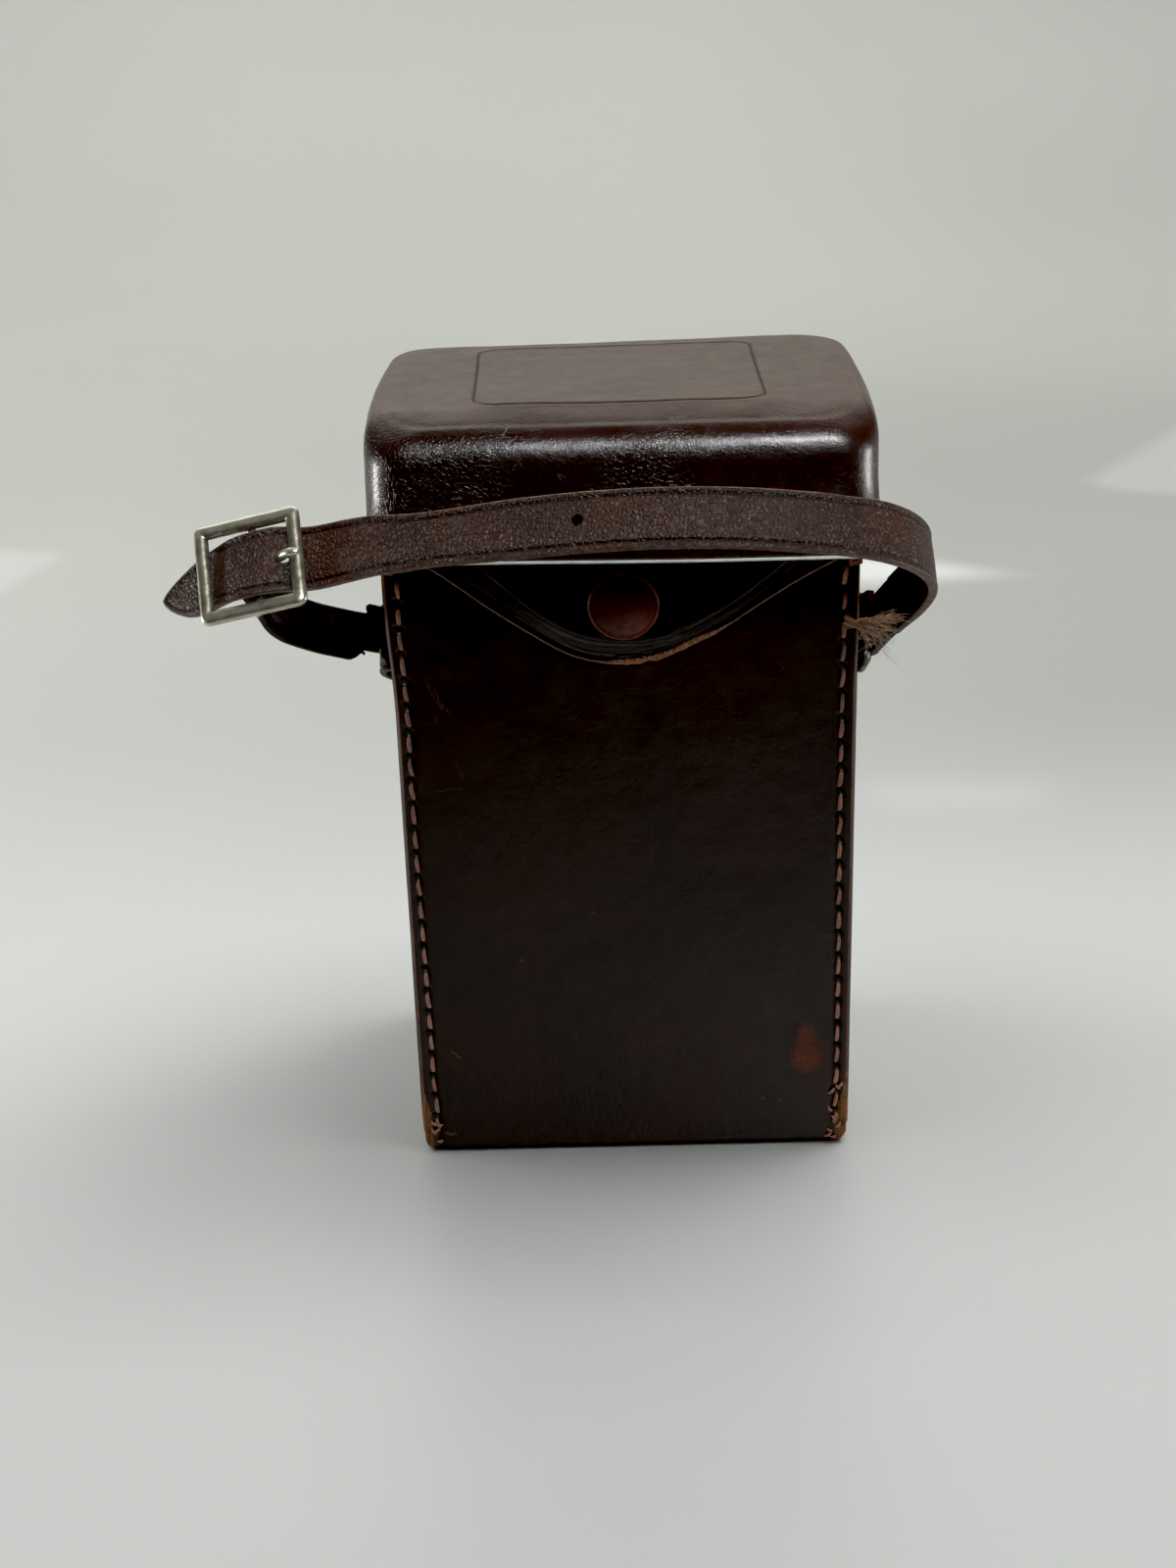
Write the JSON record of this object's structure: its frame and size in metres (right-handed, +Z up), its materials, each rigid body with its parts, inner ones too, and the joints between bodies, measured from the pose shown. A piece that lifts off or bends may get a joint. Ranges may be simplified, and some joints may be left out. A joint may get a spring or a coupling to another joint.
{
  "type": "leather camera case",
  "caption": "Upright leather case with a back-hinged moulded lid, a snap-down closing tongue, and a buckled carrying strap on side rings.",
  "frame": {"origin": "centre of the flat underside of the case body", "axes": "+X to the right seen from the front, +Y from the snap side towards the lid hinge, +Z up"},
  "size_m": [0.1626, 0.1142, 0.1743],
  "materials": {
    "body_leather": "worn satin, near-black brown",
    "lid_leather": "glossy moulded, dark red-brown",
    "strap_leather": "fine grain, semi-matte brown",
    "edge_polish": "burnished edge",
    "lining": "napped",
    "thread": "waxed linen",
    "nickel": "aged nickel plate",
    "snap_lacquer": "worn maroon lacquer",
    "snap_metal": "dull plated brass",
    "spring_wire": "drawn"
  },
  "bodies": {
    "case": {"body_wrap_strip": "body_leather", "side_gusset_right": "body_leather", "side_gusset_left": "body_leather", "body_lining": "lining", "seam_thread_right": "thread", "seam_thread_left": "thread", "snap_stud": "snap_metal", "snap_post": "snap_metal", "tab_rivets": "snap_metal", "tab_rivet_washers": "snap_metal", "hinge_strip_lower": "lid_leather", "hinge_stitching_lower": "thread"},
    "lid": {"lid_shell": "lid_leather", "lid_edge_strip": "edge_polish", "hinge_strip_upper": "lid_leather", "lid_lining": "lining", "hinge_stitching_upper": "thread", "tongue_root": "lid_leather", "tongue_stitching": "thread"},
    "tongue": {"closing_tongue": "lid_leather", "snap_cap": "snap_lacquer", "snap_socket": "snap_metal", "snap_spring": "spring_wire"},
    "strap": {"long_strap": "strap_leather", "buckle_strap": "strap_leather", "buckle_frame": "nickel", "strap_rings": "nickel", "swivel_tabs": "strap_leather", "fold_stitching": "thread"},
    "prong": {"buckle_prong": "nickel"}
  },
  "joints": [
    {"name": "lid_hinge", "type": "hinge", "parent": "case", "child": "lid", "pos_m": [0, 0.0375, 0.1546], "axis": [-1, 0, 0], "range_deg": [0, 110]},
    {"name": "tongue_flex", "type": "hinge", "parent": "lid", "child": "tongue", "pos_m": [0, -0.0376, 0.142], "axis": [-1, 0, 0], "range_deg": [0, 70]},
    {"name": "strap_swing", "type": "hinge", "parent": "case", "child": "strap", "pos_m": [0, 0.00404, 0.10806], "axis": [-1, 0, 0], "range_deg": [-80, 190]},
    {"name": "prong_play", "type": "hinge", "parent": "strap", "child": "prong", "pos_m": [-0.07439, -0.0501, 0.1474], "axis": [0, -0.5878, -0.809], "range_deg": [0, 6]}
  ]
}
